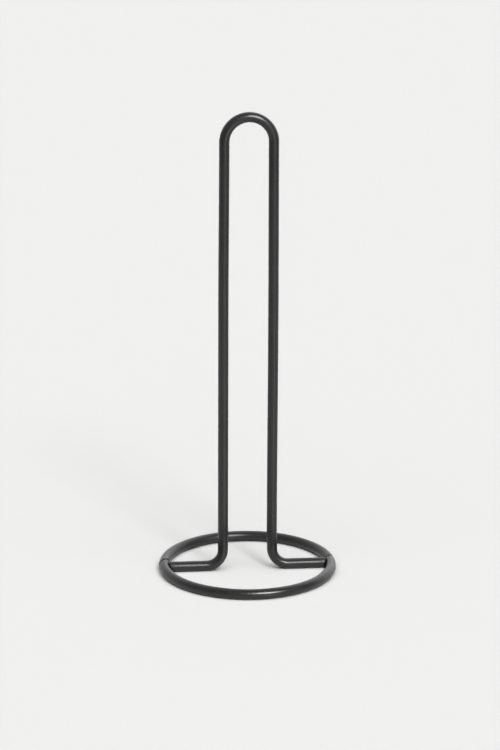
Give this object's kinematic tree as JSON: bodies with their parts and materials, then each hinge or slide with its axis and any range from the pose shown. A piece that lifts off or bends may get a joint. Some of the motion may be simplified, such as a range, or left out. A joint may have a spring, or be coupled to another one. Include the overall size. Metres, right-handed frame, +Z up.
{
  "type": "paper towel holder",
  "caption": "Free-standing paper towel holder: a tall hairpin of bent steel rod stands on a round wire base, and the roll slips down over it.",
  "frame": {"origin": "centre of the base ring, on the table it stands on", "axes": "+Z up along the hairpin, +X along the feet to the right, -Y the front"},
  "size_m": [0.1204, 0.1204, 0.3205],
  "materials": {
    "coated_rod": "satin black powder coat on steel rod",
    "coated_weld": "weld under the same black powder coat, down in a fine groove"
  },
  "bodies": {
    "root": {"upright": "coated_rod", "base_front_arc": "coated_rod", "base_rear_arc": "coated_rod", "seam_weld_left": "coated_weld", "seam_weld_right": "coated_weld", "foot_weld_left": "coated_weld", "foot_weld_right": "coated_weld"}
  },
  "joints": []
}
